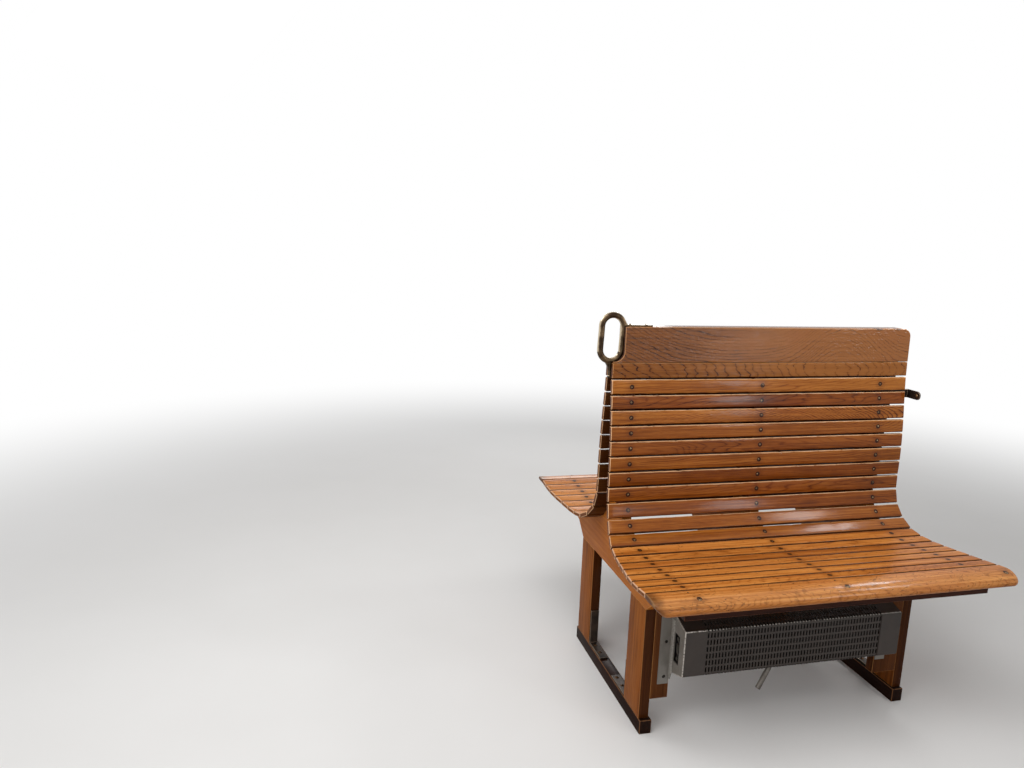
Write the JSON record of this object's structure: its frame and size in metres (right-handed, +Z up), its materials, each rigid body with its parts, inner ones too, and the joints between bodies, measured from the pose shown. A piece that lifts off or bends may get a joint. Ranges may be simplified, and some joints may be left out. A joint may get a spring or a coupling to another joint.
{
  "type": "tram bench seat",
  "caption": "Back-to-back slatted wooden tram bench with curved seats, flat-board leg frames, a ring grab handle at the aisle end and a heater hung under one seat.",
  "frame": {"origin": "on the floor, under the middle of the bench's bounding box", "axes": "+Z up, +X from the aisle end to the wall end, +Y from the front seat to the rear seat, so the front seat looks along -Y"},
  "size_m": [0.95, 0.916, 1.028],
  "materials": {
    "top_oak": "varnished",
    "back_oak": "varnished",
    "seat_oak": "worn varnish",
    "nose_oak": "worn varnish",
    "frame_oak": "varnished",
    "rail_wood": "dark stained",
    "sill_wood": "dark, worn",
    "dark_steel": "dark, worn",
    "handle_metal": "dark patina, rubbed bright on the edges",
    "heater_paint": "satin",
    "heater_dark": "matt"
  },
  "bodies": {
    "root": {"top_boards": "top_oak", "top_core": "top_oak", "band_boards": "back_oak", "back_slats_front": "back_oak", "back_slats_rear": "back_oak", "seat_slats_front": "seat_oak", "seat_slats_rear": "seat_oak", "nosing_front": "nose_oak", "nosing_rear": "nose_oak", "upright_aisle": "frame_oak", "upright_middle": "frame_oak", "upright_wall": "frame_oak", "bearer_aisle": "frame_oak", "bearer_middle": "frame_oak", "bearer_wall": "frame_oak", "legs_aisle": "frame_oak", "legs_wall": "frame_oak", "nose_rails": "rail_wood", "sill_aisle": "sill_wood", "sill_wall": "sill_wood", "foot_angles_aisle": "dark_steel", "foot_angles_wall": "dark_steel", "grab_handle": "handle_metal", "wall_bracket": "dark_steel", "heater_blocks": "rail_wood", "heater_casing": "heater_paint", "heater_grille": "heater_paint", "heater_element": "heater_dark", "heater_terminal": "heater_dark", "heater_stub": "heater_paint"}
  },
  "joints": []
}
